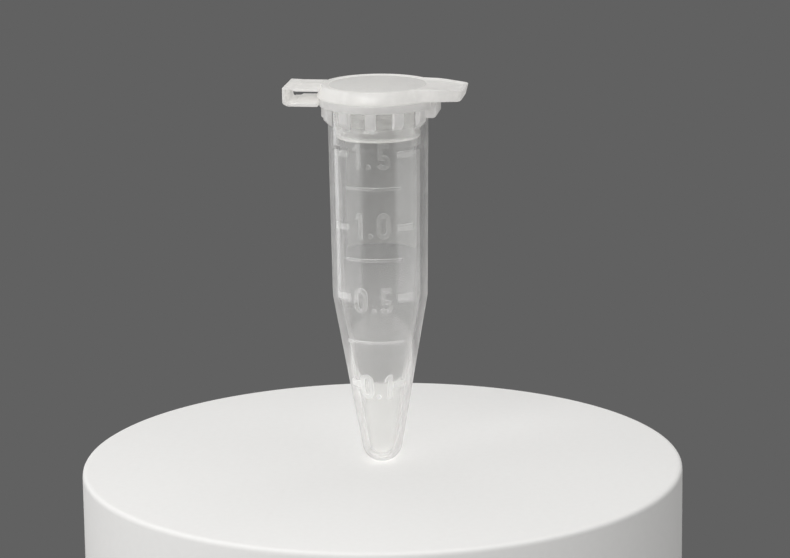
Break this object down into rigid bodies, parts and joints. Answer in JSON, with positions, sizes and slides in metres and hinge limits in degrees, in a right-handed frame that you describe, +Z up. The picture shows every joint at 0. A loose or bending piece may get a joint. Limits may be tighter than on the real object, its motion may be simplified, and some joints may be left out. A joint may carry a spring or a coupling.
{
  "type": "microcentrifuge tube",
  "caption": "Small snap-cap microcentrifuge tube with conical bottom, raised graduations, ribbed collar, folded hinge strap and thumb tab.",
  "frame": {"origin": "tip of the conical bottom, on the tube's axis", "axes": "+Z up the tube's axis to the lid, +X towards the thumb tab, -X towards the hinge, -Y towards the graduations, +Y towards the frosted panel"},
  "size_m": [0.0195, 0.013, 0.0422],
  "materials": {
    "clear_polypropylene": "natural polypropylene, see-through with a milky haze, polished mould finish",
    "milky_polypropylene": "natural polypropylene in thicker sections, milky white, satin",
    "frosted_polypropylene": "etched mould texture, matt, takes a marker pen",
    "raised_marks": "same natural polypropylene, raised 0.1 mm"
  },
  "bodies": {
    "tube": {"collar": "milky_polypropylene", "collar_lug": "milky_polypropylene", "collar_rib_01": "milky_polypropylene", "collar_rib_02": "milky_polypropylene", "collar_rib_03": "milky_polypropylene", "collar_rib_04": "milky_polypropylene", "collar_rib_05": "milky_polypropylene", "collar_rib_06": "milky_polypropylene", "collar_rib_07": "milky_polypropylene", "collar_rib_08": "milky_polypropylene", "collar_rib_09": "milky_polypropylene", "collar_rib_10": "milky_polypropylene", "collar_rib_11": "milky_polypropylene", "frosted_panel": "frosted_polypropylene", "hinge_lower_leg": "milky_polypropylene", "line_0_30": "raised_marks", "line_0_75": "raised_marks", "line_1_25": "raised_marks", "mark_0_1_1_0": "raised_marks", "mark_0_1_2_dot": "raised_marks", "mark_0_1_3_1": "raised_marks", "mark_0_5_1_0": "raised_marks", "mark_0_5_2_dot": "raised_marks", "mark_0_5_3_5": "raised_marks", "mark_1_0_1_1": "raised_marks", "mark_1_0_2_dot": "raised_marks", "mark_1_0_3_0": "raised_marks", "mark_1_5_1_1": "raised_marks", "mark_1_5_2_dot": "raised_marks", "mark_1_5_3_5": "raised_marks", "tick_0_1_left": "raised_marks", "tick_0_1_right": "raised_marks", "tick_0_5_left": "raised_marks", "tick_0_5_right": "raised_marks", "tick_1_0_left": "raised_marks", "tick_1_0_right": "raised_marks", "tick_1_5_left": "raised_marks", "tick_1_5_right": "raised_marks", "tube_barrel": "clear_polypropylene", "tube_cone": "clear_polypropylene"},
    "hinge_link": {"hinge_link": "milky_polypropylene"},
    "lid": {"lid_disc": "milky_polypropylene", "lid_tab": "milky_polypropylene", "lid_writing_panel": "frosted_polypropylene", "plug_root": "milky_polypropylene", "seal_lip": "milky_polypropylene", "hinge_upper_leg": "milky_polypropylene"}
  },
  "joints": [
    {"name": "lower_crease", "type": "hinge", "parent": "tube", "child": "hinge_link", "pos_m": [-0.0098, 0, 0.0402], "axis": [0, -1, 0], "range_deg": [0, 90]},
    {"name": "upper_crease", "type": "hinge", "parent": "hinge_link", "child": "lid", "pos_m": [-0.0098, 0, 0.04185], "axis": [0, -1, 0], "range_deg": [0, 90], "deforming": ["seal_lip"]}
  ],
  "couplings": [
    {"joint": "upper_crease", "follows": "lower_crease", "ratio": 1}
  ]
}
